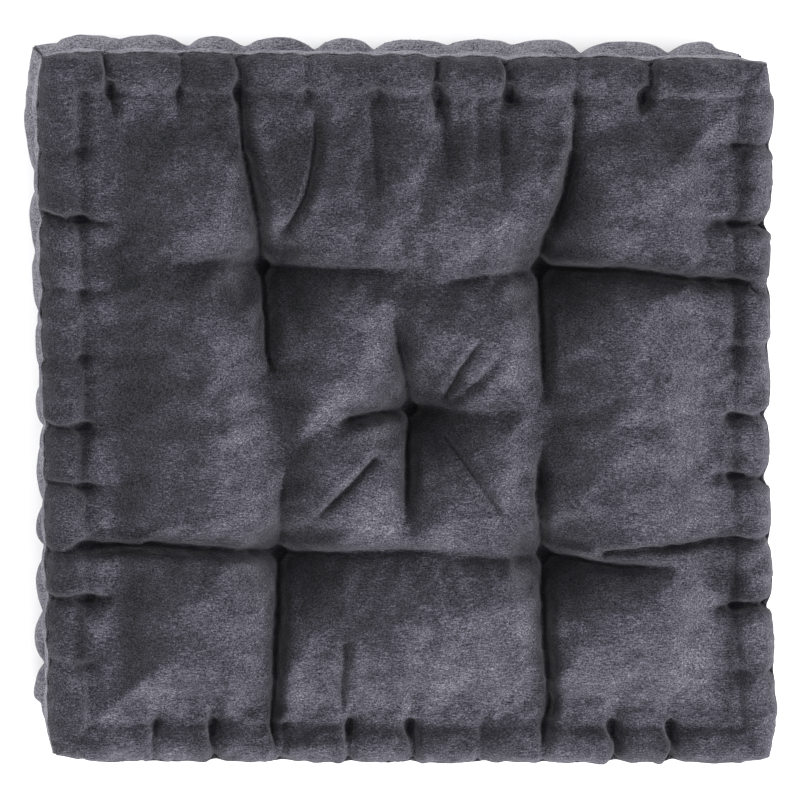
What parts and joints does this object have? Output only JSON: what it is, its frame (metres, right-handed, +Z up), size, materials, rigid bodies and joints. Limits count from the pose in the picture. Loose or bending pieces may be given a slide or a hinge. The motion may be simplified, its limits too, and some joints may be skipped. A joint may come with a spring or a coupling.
{
  "type": "floor cushion",
  "caption": "Square tufted floor cushion in crushed chenille with a hand-stitched rolled edge and puffed side bands.",
  "frame": {"origin": "middle of the underside, on the plane that the cushion rests on", "axes": "+Z up through the cushion's thickness, +Y towards the back, +X towards the right"},
  "size_m": [0.5092, 0.5098, 0.1269],
  "materials": {
    "chenille": "matte",
    "thread": "matte",
    "twine": "matte",
    "wadding": "matte"
  },
  "bodies": {
    "root": {"top_panel": "chenille", "bottom_panel": "chenille", "side_band_front": "chenille", "side_band_right": "chenille", "side_band_back": "chenille", "side_band_left": "chenille", "seam_thread_top": "thread", "seam_thread_bottom": "thread", "corner_seam_threads": "thread", "closing_stitches": "thread", "roll_stitches_top_front": "thread", "roll_stitches_top_right": "thread", "roll_stitches_top_back": "thread", "roll_stitches_top_left": "thread", "roll_stitches_bottom_front": "thread", "roll_stitches_bottom_right": "thread", "roll_stitches_bottom_back": "thread", "roll_stitches_bottom_left": "thread", "fill_core": "wadding", "roll_fill_top": "wadding", "roll_fill_bottom": "wadding", "tuft_tie_middle": "twine", "tuft_tie_front_left": "twine", "tuft_tie_front_right": "twine", "tuft_tie_back_left": "twine", "tuft_tie_back_right": "twine"}
  },
  "joints": []
}
